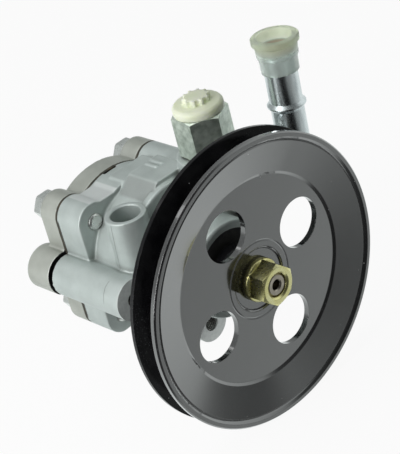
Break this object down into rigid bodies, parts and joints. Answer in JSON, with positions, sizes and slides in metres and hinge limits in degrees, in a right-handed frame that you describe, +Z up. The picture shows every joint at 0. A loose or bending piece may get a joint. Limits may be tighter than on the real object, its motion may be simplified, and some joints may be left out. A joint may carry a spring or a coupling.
{
  "type": "power steering pump",
  "caption": "Vane power steering pump with a cast aluminium body, gloss black V-belt pulley, hexagon pressure union and upright suction pipe, both capped for shipping",
  "frame": {"origin": "on the shaft axis, in the middle plane of the belt groove", "axes": "+X across the pump towards the suction pipe, +Y along the shaft from the pulley to the rear cover, +Z up along the pressure union"},
  "size_m": [0.1461, 0.1253, 0.159],
  "materials": {
    "cast_aluminium": "sand-cast grey with a fine grain, plain machined faces",
    "bright_steel": "turned and ground",
    "hard_steel": "hardened and ground",
    "zinc_steel": "pale zinc plating",
    "gold_zinc": "yellow passivated zinc on steel",
    "black_paint": "gloss black paint",
    "black_rubber": "matte black rubber",
    "bronze": "plain bronze",
    "gasket_sheet": "dark fibre sheet",
    "milky_plastic": "milky translucent",
    "cream_plastic": "cream translucent"
  },
  "bodies": {
    "housing": {"front_housing": "cast_aluminium", "rear_cover": "cast_aluminium", "joint_gasket": "gasket_sheet", "cover_bolts": "zinc_steel", "front_side_plate": "hard_steel", "cam_ring": "hard_steel", "rear_side_plate": "hard_steel", "plate_seal": "black_rubber", "spring_washer": "hard_steel", "dowel_pins": "bright_steel", "rear_bush": "bronze", "bearing_outer": "bright_steel", "bearing_ring": "hard_steel", "oil_seal": "black_rubber", "pressure_union": "zinc_steel", "union_seal": "black_rubber", "valve_spring": "hard_steel", "suction_pipe": "zinc_steel", "pipe_flange": "zinc_steel", "pipe_bolt": "zinc_steel", "pipe_seal": "black_rubber"},
    "shaft_group": {"drive_shaft": "bright_steel", "rotor": "hard_steel", "rotor_ring": "hard_steel", "bearing_inner": "bright_steel", "pulley_front": "black_paint", "pulley_rear": "black_paint", "pulley_hub": "black_paint", "woodruff_key": "hard_steel", "pulley_nut": "gold_zinc"},
    "cage": {"bearing_cage": "bronze"},
    "ball_body_1": {"ball_1": "bright_steel"},
    "ball_body_2": {"ball_2": "bright_steel"},
    "ball_body_3": {"ball_3": "bright_steel"},
    "ball_body_4": {"ball_4": "bright_steel"},
    "ball_body_5": {"ball_5": "bright_steel"},
    "ball_body_6": {"ball_6": "bright_steel"},
    "ball_body_7": {"ball_7": "bright_steel"},
    "ball_body_8": {"ball_8": "bright_steel"},
    "vane_body_1": {"vane_1": "hard_steel"},
    "vane_body_2": {"vane_2": "hard_steel"},
    "vane_body_3": {"vane_3": "hard_steel"},
    "vane_body_4": {"vane_4": "hard_steel"},
    "vane_body_5": {"vane_5": "hard_steel"},
    "vane_body_6": {"vane_6": "hard_steel"},
    "vane_body_7": {"vane_7": "hard_steel"},
    "vane_body_8": {"vane_8": "hard_steel"},
    "vane_body_9": {"vane_9": "hard_steel"},
    "vane_body_10": {"vane_10": "hard_steel"},
    "spool": {"valve_spool": "bright_steel"},
    "plug": {"pressure_plug": "milky_plastic"},
    "cap": {"suction_cap": "cream_plastic"}
  },
  "joints": [
    {"name": "shaft_spin", "type": "hinge", "parent": "housing", "child": "shaft_group", "pos_m": [0, 0, 0], "axis": [0, 1, 0], "continuous": true},
    {"name": "cage_orbit", "type": "hinge", "parent": "housing", "child": "cage", "pos_m": [0, 0.03005, 0], "axis": [0, 1, 0], "continuous": true},
    {"name": "ball_spin_1", "type": "hinge", "parent": "cage", "child": "ball_body_1", "pos_m": [0.01425, 0.03005, 0], "axis": [0, 1, 0], "continuous": true},
    {"name": "ball_spin_2", "type": "hinge", "parent": "cage", "child": "ball_body_2", "pos_m": [0.01008, 0.03005, 0.01008], "axis": [0, 1, 0], "continuous": true},
    {"name": "ball_spin_3", "type": "hinge", "parent": "cage", "child": "ball_body_3", "pos_m": [0, 0.03005, 0.01425], "axis": [0, 1, 0], "continuous": true},
    {"name": "ball_spin_4", "type": "hinge", "parent": "cage", "child": "ball_body_4", "pos_m": [-0.01008, 0.03005, 0.01008], "axis": [0, 1, 0], "continuous": true},
    {"name": "ball_spin_5", "type": "hinge", "parent": "cage", "child": "ball_body_5", "pos_m": [-0.01425, 0.03005, 0], "axis": [0, 1, 0], "continuous": true},
    {"name": "ball_spin_6", "type": "hinge", "parent": "cage", "child": "ball_body_6", "pos_m": [-0.01008, 0.03005, -0.01008], "axis": [0, 1, 0], "continuous": true},
    {"name": "ball_spin_7", "type": "hinge", "parent": "cage", "child": "ball_body_7", "pos_m": [0, 0.03005, -0.01425], "axis": [0, 1, 0], "continuous": true},
    {"name": "ball_spin_8", "type": "hinge", "parent": "cage", "child": "ball_body_8", "pos_m": [0.01008, 0.03005, -0.01008], "axis": [0, 1, 0], "continuous": true},
    {"name": "vane_slide_1", "type": "slide", "parent": "shaft_group", "child": "vane_body_1", "axis": [0.5373, 0, 0.8434], "range_m": [0, 0.00265]},
    {"name": "vane_slide_2", "type": "slide", "parent": "shaft_group", "child": "vane_body_2", "axis": [-0.061, 0, 0.9981], "range_m": [0, 0.00179]},
    {"name": "vane_slide_3", "type": "slide", "parent": "shaft_group", "child": "vane_body_3", "axis": [-0.6361, 0, 0.7716], "range_m": [0, 0.00039]},
    {"name": "vane_slide_4", "type": "slide", "parent": "shaft_group", "child": "vane_body_4", "axis": [-0.9681, 0, 0.2504], "range_m": [0, 0.00039]},
    {"name": "vane_slide_5", "type": "slide", "parent": "shaft_group", "child": "vane_body_5", "axis": [-0.9304, 0, -0.3665], "range_m": [0, 0.00179]},
    {"name": "vane_slide_6", "type": "slide", "parent": "shaft_group", "child": "vane_body_6", "axis": [-0.5373, 0, -0.8434], "range_m": [0, 0.00265]},
    {"name": "vane_slide_7", "type": "slide", "parent": "shaft_group", "child": "vane_body_7", "axis": [0.061, 0, -0.9981], "range_m": [0, 0.00179]},
    {"name": "vane_slide_8", "type": "slide", "parent": "shaft_group", "child": "vane_body_8", "axis": [0.6361, 0, -0.7716], "range_m": [0, 0.00039]},
    {"name": "vane_slide_9", "type": "slide", "parent": "shaft_group", "child": "vane_body_9", "axis": [0.9681, 0, -0.2504], "range_m": [0, 0.00039]},
    {"name": "vane_slide_10", "type": "slide", "parent": "shaft_group", "child": "vane_body_10", "axis": [0.9304, 0, 0.3665], "range_m": [0, 0.00179]},
    {"name": "spool_slide", "type": "slide", "parent": "housing", "child": "spool", "axis": [0, 0, -1], "range_m": [0, 0.005], "stiffness_N_per_m": 3000, "springref_m": -0.004, "deforming": ["valve_spring"]},
    {"name": "plug_pull", "type": "slide", "parent": "housing", "child": "plug", "axis": [0, 0, 1], "range_m": [0, 0.03]},
    {"name": "cap_pull", "type": "slide", "parent": "housing", "child": "cap", "axis": [0.0471, 0, 0.9989], "range_m": [0, 0.04]}
  ],
  "couplings": [
    {"joint": "cage_orbit", "follows": "shaft_spin", "ratio": 0.3818},
    {"joint": "ball_spin_1", "follows": "shaft_spin", "ratio": -1.996},
    {"joint": "ball_spin_2", "follows": "shaft_spin", "ratio": -1.996},
    {"joint": "ball_spin_3", "follows": "shaft_spin", "ratio": -1.996},
    {"joint": "ball_spin_4", "follows": "shaft_spin", "ratio": -1.996},
    {"joint": "ball_spin_5", "follows": "shaft_spin", "ratio": -1.996},
    {"joint": "ball_spin_6", "follows": "shaft_spin", "ratio": -1.996},
    {"joint": "ball_spin_7", "follows": "shaft_spin", "ratio": -1.996},
    {"joint": "ball_spin_8", "follows": "shaft_spin", "ratio": -1.996}
  ]
}
